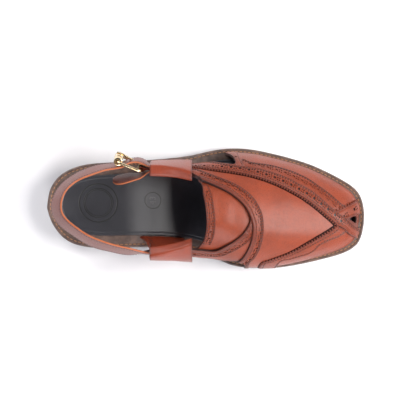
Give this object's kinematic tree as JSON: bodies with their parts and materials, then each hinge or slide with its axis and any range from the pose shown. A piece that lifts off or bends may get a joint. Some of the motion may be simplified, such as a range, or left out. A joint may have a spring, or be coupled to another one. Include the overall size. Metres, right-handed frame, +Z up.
{
  "type": "peshawari chappal",
  "caption": "Left closed-toe strap sandal with brogued crossed bands, instep tongue, side sleeves and a buckled heel strap on a welted sole with a low heel.",
  "frame": {"origin": "on the floor, under the middle of the shoe's length and width", "axes": "+X towards the toe, +Y towards the little-toe side, +Z up"},
  "size_m": [0.3002, 0.115, 0.0755],
  "materials": {
    "outsole": "worn matt crepe-brown rubber, grey at the edge",
    "midsole": "burnished leather welt with tan stitches along its rim",
    "insole": "black glazed lining leather, bare but for a pair of pressed rings",
    "heel_block": "stacked leather, burnished dark",
    "heel_top_piece": "matt black rubber",
    "upper": "tan-red polished leather, brogued bands with dark burnished edges",
    "tongue": "smooth tan-red leather with a perforated collar band",
    "side_sleeve": "glossy tan-red leather",
    "inner_sleeve": "glossy tan-red leather",
    "heel_strap": "tan-red leather with black lining",
    "guard_tab": "tan-red leather with tan cut edge",
    "hinge_loop": "thin folded leather",
    "buckle_frame": "pale polished brass",
    "buckle_roller": "pale polished brass tube",
    "buckle_prong": "pale polished brass"
  },
  "bodies": {
    "root": {"outsole": "outsole", "midsole": "midsole", "insole": "insole", "heel_block": "heel_block", "heel_top_piece": "heel_top_piece", "upper": "upper", "tongue": "tongue", "side_sleeve": "side_sleeve", "inner_sleeve": "inner_sleeve", "heel_strap": "heel_strap", "guard_tab": "guard_tab", "hinge_loop": "hinge_loop", "buckle_frame": "buckle_frame", "buckle_roller": "buckle_roller", "buckle_prong": "buckle_prong"}
  },
  "joints": []
}
